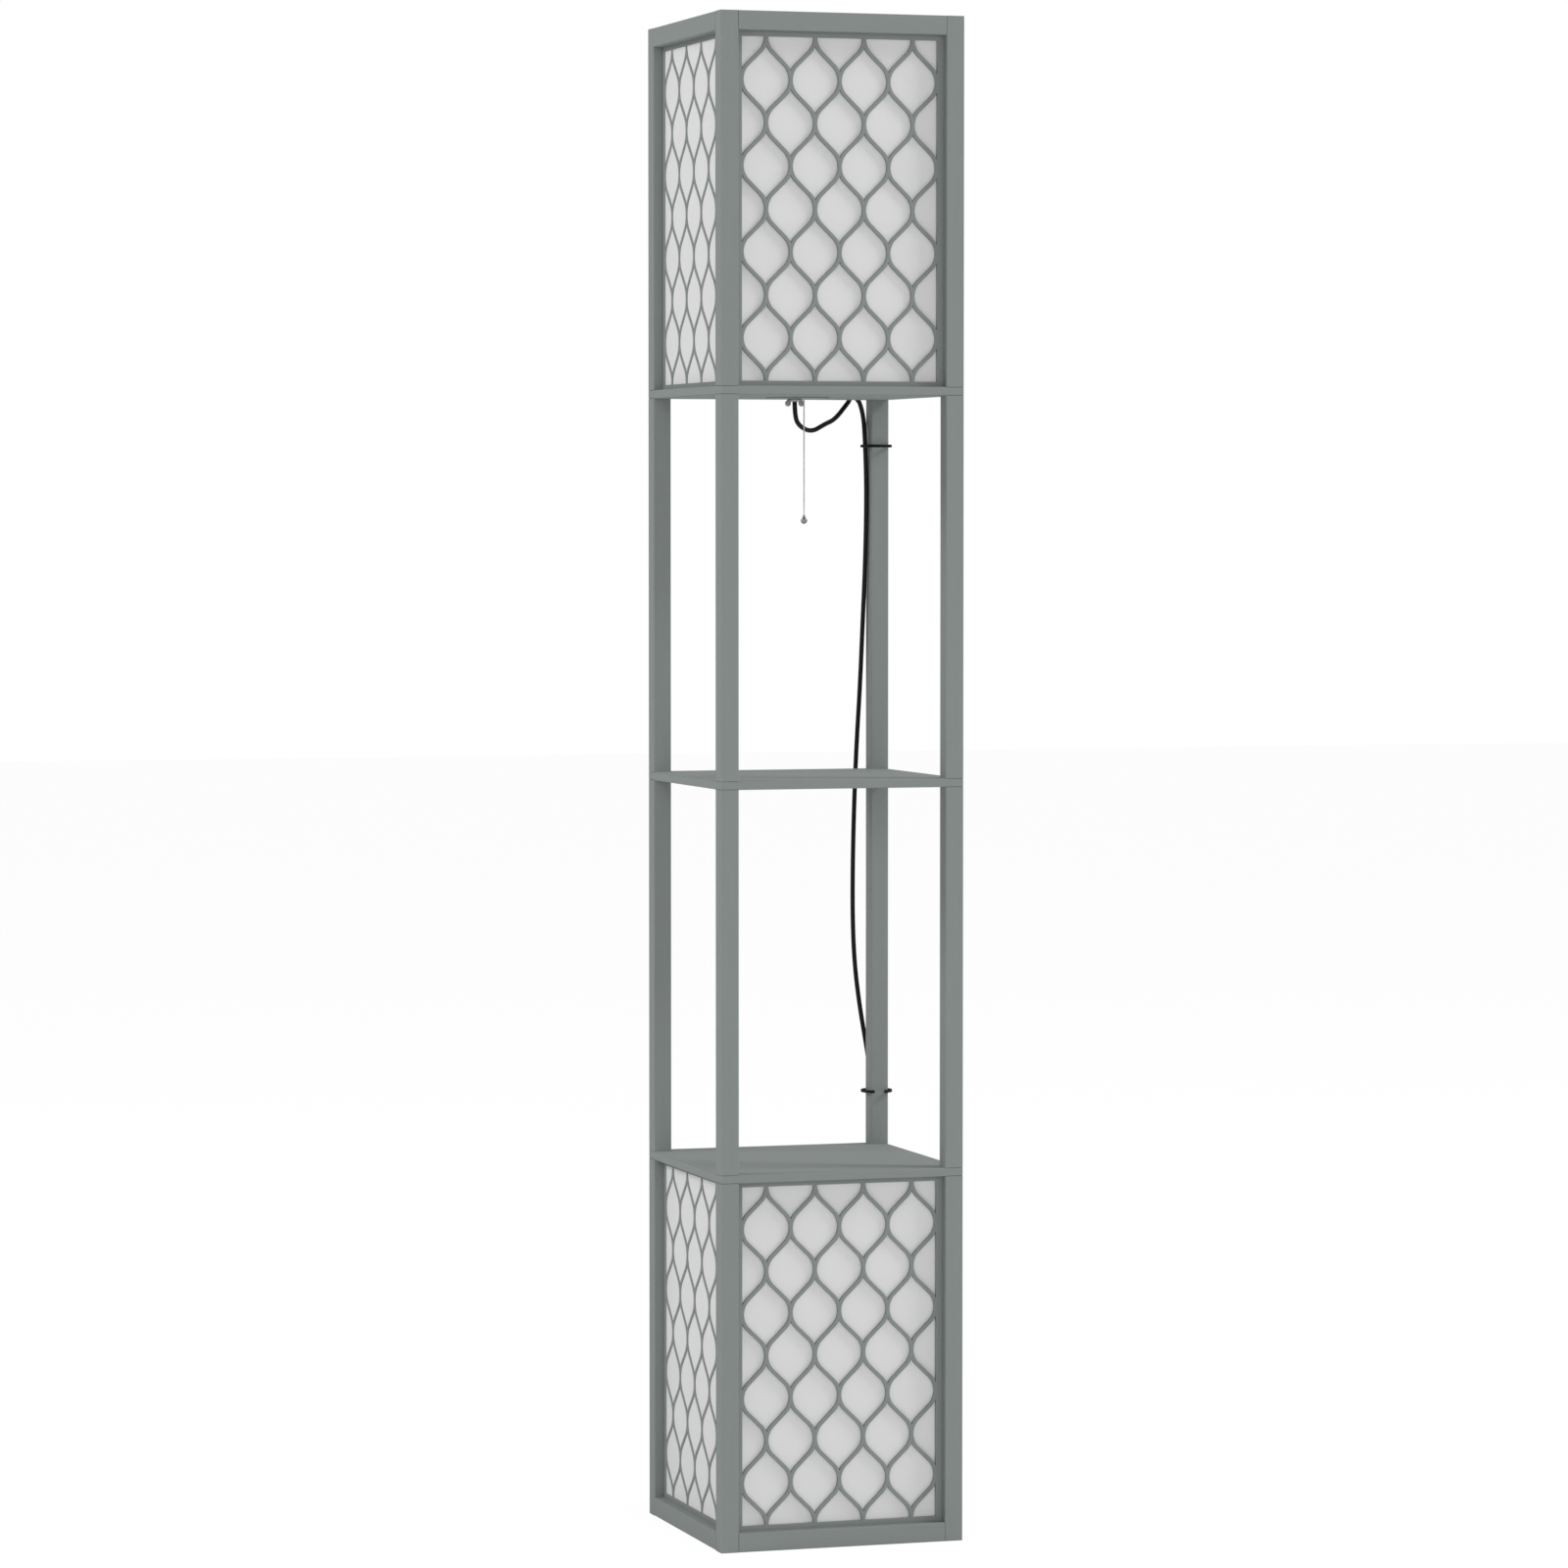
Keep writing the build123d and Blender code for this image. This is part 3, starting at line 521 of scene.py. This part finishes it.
nut_low, nut_high = np.array(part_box("wing_nut"))
hub_radius = (nut_high[1] - nut_low[1]) / 2
points, faces = turned(
    [
        (NUT_BORE, nipple_low[2]),
        *[(hub_radius - inset, nipple_low[2] + rise) for inset, rise in NUT_FOOT],
        *[(hub_radius - inset, nut_high[2] - drop) for inset, drop in NUT_TOP],
        (NUT_BORE, nut_high[2]),
    ],
    holder_axis, ROUND_STEPS, ring=True,
)
point_groups, face_groups = [points], [faces]

# A wing's outline is an arc round its lobe and an arc round its root. It is repeated through the
# wing's thickness, smaller towards both faces by the rounding of the rim, and each face closes on
# the middles of the two arcs.
root_x = NUT_BORE + WING_ROOT
root_z = nut_high[2] - WING_ROOT
lobe_x = (nut_high[0] - nut_low[0]) / 2 - WING_LOBE
lobe_z = nut_low[2] + WING_LOBE
lean = math.atan2(lobe_z - root_z, lobe_x - root_x)
widening = math.asin((WING_LOBE - WING_ROOT) / math.hypot(lobe_x - root_x, lobe_z - root_z))
quarter_turn = math.pi / 2
turn = lean + np.concatenate([
    np.linspace(-quarter_turn - widening, quarter_turn + widening, LOBE_STEPS),
    np.linspace(quarter_turn + widening, 3 * quarter_turn - widening, ROOT_STEPS),
])
from_x, from_z, reach = np.repeat(
    [(lobe_x, lobe_z, WING_LOBE), (root_x, root_z, WING_ROOT)], (LOBE_STEPS, ROOT_STEPS), axis=0,
).T
round_turn = np.linspace(0, quarter_turn, RIM_STEPS)
upper_rim = WING_HALF_THICKNESS - WING_RIM * (1 - np.sin(round_turn[::-1]))
rim_inset = WING_RIM * (1 - np.cos(round_turn))
thickness = np.concatenate([
    [WING_HALF_THICKNESS], upper_rim, -upper_rim[::-1], [-WING_HALF_THICKNESS],
])
inset = np.concatenate([rim_inset[::-1], rim_inset])
size = np.vstack([0 * reach, np.clip(reach - inset[:, None], 0, None), 0 * reach])
for side in (-1, 1):
    wing = np.stack([
        holder_axis[0] + side * (from_x + size * np.cos(turn)),
        holder_axis[1] + np.repeat(thickness[:, None], len(turn), axis=1),
        from_z + size * np.sin(turn),
    ], axis=-1)
    face_groups.append(grid_faces(*size.shape) + sum(map(len, point_groups)))
    point_groups.append(wing.reshape(-1, 3))
add_piece(
    "wing_nut_casting", np.concatenate(point_groups), np.concatenate(face_groups), casting,
    "wing_nut", "wing_nut", CREASE,
)


# Bulb: a screw cap rolled from bright aluminium, in the holder's brass shell, and an envelope of
# opal glass, white with a soft gloss, whose neck swells into a globe.

# The tip's pairs are radius and height. The cone's and the edge's are steps in from the cap's
# radius, and up from the tip or down from the edge.
CAP_TIP = ((0, 0), (0.003, 0), (0.0045, 0.0012), (0.0065, 0.0024))
CAP_CONE = (0.0012, 0.0065)
CAP_THREAD_START = 0.008
CAP_THREAD_END = 0.002
CAP_EDGE = ((THREAD_DEPTH / 2, 0.0005), (0.001, 0))
NECK_RADIUS = 0.013
NECK_HEIGHT = 0.008
SHOULDER_RADIUS = 0.030
SWELL_STEPS = 12
GLOBE_STEPS = 40

aluminium = new_material("rolled aluminium", Base_Color=linear("#D6D7D8"), Metallic=1.0, Roughness=0.3)
opal = new_material("opal white glass", Base_Color=linear("#EFEEE9"), Roughness=0.28, IOR=1.5)
cap_low, cap_high = np.array(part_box("bulb_cap"))
cap_radius = (cap_high[0] - cap_low[0]) / 2
cap_levels = np.linspace(cap_low[2] + CAP_THREAD_START, cap_high[2] - CAP_THREAD_END, THREAD_LEVELS)
points, faces = turned(
    [
        *[(radius, cap_low[2] + rise) for radius, rise in CAP_TIP],
        (cap_radius - CAP_CONE[0], cap_low[2] + CAP_CONE[1]),
        *[(cap_radius - THREAD_DEPTH / 2, level) for level in cap_levels],
        *[(cap_radius - inset, cap_high[2] - drop) for inset, drop in CAP_EDGE],
        (0, cap_high[2]),
    ],
    holder_axis, ROUND_STEPS,
    wave=thread(THREAD_PITCH, THREAD_DEPTH, cap_levels[0], cap_levels[-1]),
)
add_piece("screw_cap", points, faces, aluminium, "bulb", "bulb_cap", THREAD_CREASE)

glass_low, glass_high = np.array(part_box("bulb_glass"))
globe_radius = (glass_high[0] - glass_low[0]) / 2
shoulder_turn = math.acos((NECK_RADIUS + SHOULDER_RADIUS) / (SHOULDER_RADIUS + globe_radius))
swell_z = glass_low[2] + NECK_HEIGHT
globe_z = swell_z + (SHOULDER_RADIUS + globe_radius) * math.sin(shoulder_turn)
profile = [(0, glass_low[2]), (NECK_RADIUS, glass_low[2])]
for turn in np.linspace(0, shoulder_turn, SWELL_STEPS):
    radius = NECK_RADIUS + SHOULDER_RADIUS * (1 - math.cos(turn))
    profile.append((radius, swell_z + SHOULDER_RADIUS * math.sin(turn)))
for turn in np.linspace(-shoulder_turn, math.pi / 2, GLOBE_STEPS)[1:]:
    profile.append((globe_radius * math.cos(turn), globe_z + globe_radius * math.sin(turn)))
points, faces = turned(profile, holder_axis, ROUND_STEPS)
add_piece("opal_envelope", points, faces, opal, "bulb", "bulb_glass", CREASE)


# Pull chain: nickel-plated hollow beads on short wire links. It hangs through the shelf at the
# lamp's middle, and ends in a ball with a small collar. The ball's plating is a little rougher,
# and its colour is darker than the chain's as painted shade, which dims its reflections.
CHAIN_AXIS = (0.0, 0.0)
CHAIN_SIDES = 16
BEAD_PITCH = 0.0019
BEAD_RADIUS = 0.0009
BEAD_STEPS = 10
BEAD_CREASE = 50
LINK_RADIUS = 0.0005
COLLAR_RADIUS = 0.0015
COLLAR_BREAK = 0.0004
BALL_STEPS = 28
BALL_SIDES = 48

nickel = new_material("nickel-plated brass", Base_Color=linear("#D2D2D1"), Metallic=1.0, Roughness=0.35)
# The ball's nickel is a darker copy of the chain's: painted shade that dims its reflections.
dull_shaded_nickel = new_material("dull nickel plate with painted shade", Base_Color=linear("#989897"), Metallic=1.0, Roughness=0.42)


def bead_profile(low, high):
    """Profile of a bead chain between two levels: in each pitch, half a circle, or the link's wire
    where that is wider."""
    count = max(1, round((high - low) / BEAD_PITCH))
    pitch = (high - low) / count
    turn = np.linspace(0, np.pi, BEAD_STEPS)
    radius = np.maximum(BEAD_RADIUS * np.sin(turn), LINK_RADIUS)
    level = low + pitch / 2 - BEAD_RADIUS * np.cos(turn) + pitch * np.arange(count)[:, None]
    beads = np.stack([np.tile(radius, count), level.ravel()], axis=-1)
    return [(0, low), (LINK_RADIUS, low), *beads.tolist(), (LINK_RADIUS, high), (0, high)]


lengths = {"beads_above": ("chain_upper", "chain_slide"), "beads_below": ("chain_lower", "chain_swing")}
for name, (node, body) in lengths.items():
    low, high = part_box(node)
    points, faces = turned(bead_profile(low[2], high[2]), CHAIN_AXIS, CHAIN_SIDES)
    add_piece(name, points, faces, nickel, body, node, BEAD_CREASE)

ball_low, ball_high = np.array(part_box("pull_ball"))
ball_radius = (ball_high[0] - ball_low[0]) / 2
ball_z = ball_low[2] + ball_radius
ball_turn = np.linspace(-math.pi / 2, math.acos(COLLAR_RADIUS / ball_radius), BALL_STEPS)
points, faces = turned(
    [
        *[(ball_radius * math.cos(turn), ball_z + ball_radius * math.sin(turn)) for turn in ball_turn],
        (COLLAR_RADIUS, ball_high[2] - COLLAR_BREAK),
        (COLLAR_RADIUS - COLLAR_BREAK, ball_high[2]),
        (0, ball_high[2]),
    ],
    CHAIN_AXIS, BALL_SIDES,
)
add_piece("end_ball", points, faces, dull_shaded_nickel, "chain_swing", "pull_ball", CREASE)


# Ties: rings of black nylon, with a low sheen, that hold the cord to the back right post. The
# upper is closed, and the lower is an open clip whose mouth faces the front.
TIE_WALL = 0.0024
TIE_MOUTH = 0.0107
TIE_MOUTH_TURN = -95.0
TIE_STEPS = 96
TIE_SIDES = 20
TIE_SQUARENESS = 0.5
TIE_END_STEPS = 6
TIE_CREASE = 60

nylon = new_material("black nylon", Base_Color=linear("#0E0F0E"), Roughness=0.55, Specular_IOR_Level=0.2)


def squared(part, power):
    """A cosine or sine to a power, with its sign kept. A power under one makes a circle a rounded
    square."""
    return np.sign(part) * abs(part) ** power


def tie_ring(middle, radius, height, mouth):
    """A rounded section carried round a circle. With a mouth, the section shrinks to a point
    over half a wall's thickness at each end, as a ball does."""
    half = TIE_WALL / 2
    section = np.linspace(0, 2 * np.pi, TIE_SIDES, endpoint=False)
    if mouth:
        close = np.linspace(0, np.pi / 2, TIE_END_STEPS + 1)[:-1]
        start = mouth / 2 / radius
        cap = half / radius
        along = np.concatenate([
            start + cap * (1 - np.cos(close)),
            np.linspace(start + cap, 2 * np.pi - start - cap, TIE_STEPS),
            2 * np.pi - start - cap * (1 - np.cos(close[::-1])),
        ])
        size = np.concatenate([np.sin(close), np.ones(TIE_STEPS), np.sin(close[::-1])])
    else:
        along = np.linspace(0, 2 * np.pi, TIE_STEPS, endpoint=False)
        size = np.ones(TIE_STEPS)
    along = along[:, None] + math.radians(TIE_MOUTH_TURN)
    out = radius + half * size[:, None] * squared(np.cos(section), TIE_SQUARENESS)
    up = middle[2] + height / 2 * size[:, None] * squared(np.sin(section), TIE_SQUARENESS)
    points = np.stack([middle[0] + out * np.cos(along), middle[1] + out * np.sin(along), up], axis=-1)
    return points.reshape(-1, 3), grid_faces(*out.shape, ring=not mouth)


for node, mouth, name in (("cord_ring", 0, "closed_tie"), ("cord_clip", TIE_MOUTH, "open_tie")):
    low, high = np.array(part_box(node))
    outer = (high[0] - low[0]) / 2
    middle = np.array([low[0] + outer, high[1] - outer, (low[2] + high[2]) / 2])
    points, faces = tie_ring(middle, outer - TIE_WALL / 2, high[2] - low[2], mouth)
    add_piece(name, points, faces, nylon, "frame", node, TIE_CREASE)


# Plug: a moulding in soft black PVC with a low sheen, which has two bright round pins and a ribbed
# sleeve that tapers to the cord. It lies on the floor beside the coil.
SLEEVE_LENGTH = 0.020
SLEEVE_STEPS = 60
SLEEVE_RIB_PITCH = 0.0036
SLEEVE_RIB_DEPTH = 0.0004
SLEEVE_START = 0.0034
SLEEVE_END = 0.0055
SHOULDER_LENGTH = 0.004
SHOULDER_HALF_WIDTH = 0.0105
SHOULDER_HALF_HEIGHT = 0.0072
GRIP_STEPS = 29
GRIP_BLEND = 0.006
GRIP_SQUARENESS = (0.55, 0.5)
FACE_ROUNDING = 0.0015
FACE_INSET = 0.001
PLUG_SIDES = 48

soft_pvc = new_material(
    "black flexible PVC",
    Base_Color=linear("#0E0F0E"), Roughness=0.6, IOR=1.53, Specular_IOR_Level=0.2,
)
rough_skin(soft_pvc, spacing=0.0009, depth=0.00002, detail=2.0, strength=0.4)

# The moulding is a row of rounded squares along X. Their half width, half height and power go in
# straight lines from mark to mark, and grooves between ribs are cut into the sleeve.
plug_low, plug_high = np.array(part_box("plug_body"))
plug_middle = (plug_low + plug_high) / 2
length, width, height = plug_high - plug_low
station = np.concatenate([
    np.linspace(0, SLEEVE_LENGTH, SLEEVE_STEPS),
    np.linspace(SLEEVE_LENGTH, length, GRIP_STEPS + 1)[1:],
])
marks = [0, SLEEVE_LENGTH, SLEEVE_LENGTH + SHOULDER_LENGTH, length - FACE_ROUNDING, length]
sleeve = [SLEEVE_START, SLEEVE_END]
wide = np.interp(station, marks, [*sleeve, SHOULDER_HALF_WIDTH, width / 2, width / 2 - FACE_INSET])
tall = np.interp(station, marks, [*sleeve, SHOULDER_HALF_HEIGHT, height / 2, height / 2 - FACE_INSET])
square = np.interp(
    station, [0, SLEEVE_LENGTH, SLEEVE_LENGTH + GRIP_BLEND, length], [1.0, 1.0, *GRIP_SQUARENESS],
)
groove = SLEEVE_RIB_DEPTH * np.clip(np.sin(2 * np.pi * station / SLEEVE_RIB_PITCH), -1, 0)
groove = groove * (station < SLEEVE_LENGTH)
station = np.pad(station, 1, "edge")[:, None]
wide = np.pad(wide + groove, 1)[:, None]
tall = np.pad(tall + groove, 1)[:, None]
square = np.pad(square, 1, "edge")[:, None]
around = np.linspace(0, 2 * np.pi, PLUG_SIDES, endpoint=False)
points = np.stack([
    np.repeat(plug_low[0] + station, PLUG_SIDES, axis=1),
    plug_middle[1] + wide * squared(np.cos(around), square),
    plug_middle[2] + tall * squared(np.sin(around), square),
], axis=-1)
plug = add_piece(
    "plug_moulding", points.reshape(-1, 3), grid_faces(len(station), PLUG_SIDES),
    soft_pvc, "frame", "plug_body", CREASE,
)
pin_metal = new_material("nickel-plated pins", Base_Color=linear("#CFCBC0"), Metallic=1.0, Roughness=0.25)
finish_node("plug_pins", pin_metal)


# Cord: limp two-core flex in black PVC. It leaves the nipple, loops under the shelf and out over
# its back edge, and falls down the back right post. Its spare length lies coiled behind the foot.
CORD_DIAMETER = 0.005
LEAD_ROUTE = [
    (-0.003, 0.023, 1.2006),
    (-0.003, 0.023, 1.189),
    (0.002, 0.0285, 1.176),
    (0.024, 0.050, 1.1685),
    (0.048, 0.076, 1.178),
    (0.0698, 0.1082, 1.1834),
    (0.0920, 0.1336, 1.2008),
    (0.0977, 0.1388, 1.2064),
    (0.0960, 0.1505, 1.2123),
    (0.1045, 0.1575, 1.2106),
    (0.1125, 0.1545, 1.2055),
    (0.1124, 0.1435, 1.1944),
    (0.1107, 0.1330, 1.1844),
    (0.1078, 0.1214, 1.1746),
    (0.1106, 0.1245, 1.140),
    (0.1107, 0.1225, 1.095),
    (0.1102, 0.125, 1.030),
    (0.1085, 0.129, 0.962),
    (0.1073, 0.1345, 0.893),
    (0.1055, 0.141, 0.830),
    (0.1035, 0.1425, 0.770),
    (0.102, 0.143, 0.705),
    (0.1016, 0.1425, 0.640),
    (0.1035, 0.1413, 0.590),
    (0.1085, 0.139, 0.545),
    (0.115, 0.137, 0.505),
    (0.1205, 0.136, 0.470),
    (0.1216, 0.1359, 0.436),
    (0.1215, 0.141, 0.408),
    (0.1195, 0.142, 0.352),
    (0.115, 0.1415, 0.290),
    (0.1105, 0.1425, 0.225),
    (0.1065, 0.142, 0.160),
    (0.103, 0.143, 0.098),
    (0.098, 0.1435, 0.045),
    (0.084, 0.144, 0.014),
    (0.062, 0.1446, 0.0042),
    (0.042, 0.145, 0.0032),
]
COIL_MIDDLE = (0.020, 0.177)
COIL_RADII = (0.032, 0.02925, 0.0265, 0.02925, 0.032)
COIL_CLIMB = 2
LOWER_LEVEL = 0.0032
UPPER_LEVEL = 0.0087
POINTS_PER_HALF_TURN = 8
PLUG_TAIL = 0.014
CORD_RESOLUTION = 8
CORD_ROUNDNESS = 6

# The coil is a row of half turns, each between two crossings of the line through its middle. With
# the points of a quadratic spline outset a little, the cord itself runs on the circle.
turn_start = COIL_MIDDLE[1] - COIL_RADII[0]
route = [*LEAD_ROUTE, (COIL_MIDDLE[0] + CORD_DIAMETER, turn_start, LOWER_LEVEL)]
share = (np.arange(POINTS_PER_HALF_TURN) + 0.5) / POINTS_PER_HALF_TURN
outset = 4 / (3 + math.cos(math.pi / POINTS_PER_HALF_TURN))
side = -1
for number, radius in enumerate(COIL_RADII):
    turn_end = turn_start - 2 * side * radius
    rise = share if number == COIL_CLIMB else float(number > COIL_CLIMB)
    bend_x = COIL_MIDDLE[0] + side * outset * radius * np.sin(np.pi * share)
    bend_y = (turn_start + turn_end) / 2 + side * outset * radius * np.cos(np.pi * share)
    bend_z = LOWER_LEVEL + (UPPER_LEVEL - LOWER_LEVEL) * rise + 0 * share
    route += list(zip(bend_x.tolist(), bend_y.tolist(), bend_z.tolist()))
    turn_start = turn_end
    side = -side
route += [
    (COIL_MIDDLE[0] + CORD_DIAMETER, turn_start, UPPER_LEVEL),
    (COIL_MIDDLE[0] + PLUG_TAIL, turn_start, UPPER_LEVEL),
]
flex = bpy.data.curves.new("flex", "CURVE")
flex.dimensions = "3D"
run = flex.splines.new("NURBS")
run.points.add(len(route) - 1)
run.points.foreach_set("co", np.column_stack([route, np.ones(len(route))]).ravel())
run.order_u = 3
run.use_endpoint_u = True
flex.resolution_u = CORD_RESOLUTION
flex.bevel_depth = CORD_DIAMETER / 2
flex.bevel_resolution = CORD_ROUNDNESS
flex.use_fill_caps = True
flex.materials.append(soft_pvc)
cord = bpy.data.objects.new("flex", flex)
bpy.context.scene.collection.objects.link(cord)
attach(cord, "frame")
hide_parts("cord_lead", "cord_coil")
for name in ("cord_bush", "coil_band"):
    finish_node(name, soft_pvc)


# Studio: a white floor that keeps a faint shadow, and white all round. The key light stands high
# at the right, and a weaker one, lower, in front. A fill lifts the left side. Nearly all of it is
# behind the plane of the front lattices, so that the edges of their bars stay dark.
WORLD_LIGHT = 0.46
FLOOR_SIDE = 40.0
FLOOR_DROP = 0.0002
FLOOR_GLOW = 0.9
FLOOR_WHITE = 1.04
AIM_HEIGHT = 0.8
WHITE = (1.0, 1.0, 1.0, 1.0)

floor_mesh = bpy.data.meshes.new("floor")
half = FLOOR_SIDE / 2
corners = [(x, y, -FLOOR_DROP) for x, y in ((-half, -half), (half, -half), (half, half), (-half, half))]
floor_mesh.from_pydata(corners, [], [(0, 1, 2, 3)])
floor = bpy.data.objects.new("floor", floor_mesh)
bpy.context.scene.collection.objects.link(floor)
white_floor = new_material("white studio floor", Base_Color=linear("#F2F2F2"), Roughness=0.9)
tree = white_floor.node_tree
matt = tree.nodes["Principled BSDF"].outputs["BSDF"]
camera_ray = add_node(tree, "LightPath").outputs["Is Camera Ray"]
glow = add_node(tree, "Emission", Color=WHITE, Strength=FLOOR_WHITE)
seen = add_node(tree, "Math", {"operation": "MULTIPLY"}, Value=camera_ray, Value_001=FLOOR_GLOW)
lit = add_node(
    tree, "MixShader",
    Fac=seen.outputs["Value"], Shader=matt, Shader_001=glow.outputs["Emission"],
)
feed(tree.nodes["Material Output"], Surface=lit.outputs["Shader"])
floor_mesh.materials.append(white_floor)

world = bpy.data.worlds.new("studio")
world.use_nodes = True
bpy.context.scene.world = world
tree = world.node_tree
tree.nodes.clear()
camera_ray = add_node(tree, "LightPath").outputs["Is Camera Ray"]
light = add_node(tree, "Background", Color=WHITE, Strength=WORLD_LIGHT)
white = add_node(tree, "Background", Color=WHITE, Strength=1.0)
lit = add_node(
    tree, "MixShader",
    Fac=camera_ray, Shader=light.outputs["Background"], Shader_001=white.outputs["Background"],
)
add_node(tree, "OutputWorld", Surface=lit.outputs["Shader"])


def soft_box(name, toward, distance, side, brightness):
    """A square light at that distance and direction from the lamp's middle, turned to face it.
    brightness is what it adds to a white surface that faces it: its power over the square of pi
    times its distance."""
    data = bpy.data.lights.new(name, "AREA")
    data.size = side
    data.energy = brightness * (math.pi * distance) ** 2
    box = bpy.data.objects.new(name, data)
    x, y, z = np.array(toward) / np.linalg.norm(toward)
    box.location = (distance * x, distance * y, distance * z + AIM_HEIGHT)
    box.rotation_euler = (math.acos(z), 0, math.atan2(x, -y))
    bpy.context.scene.collection.objects.link(box)


soft_box("key", toward=(2.5, -1.0, 2.5), distance=6.3, side=1.45, brightness=0.46)
soft_box("front", toward=(-1.0, -4.0, 0.8), distance=7.5, side=2.4, brightness=0.18)
soft_box("fill", toward=(-3.4, 0.5, 2.2), distance=6.0, side=2.0, brightness=0.36)
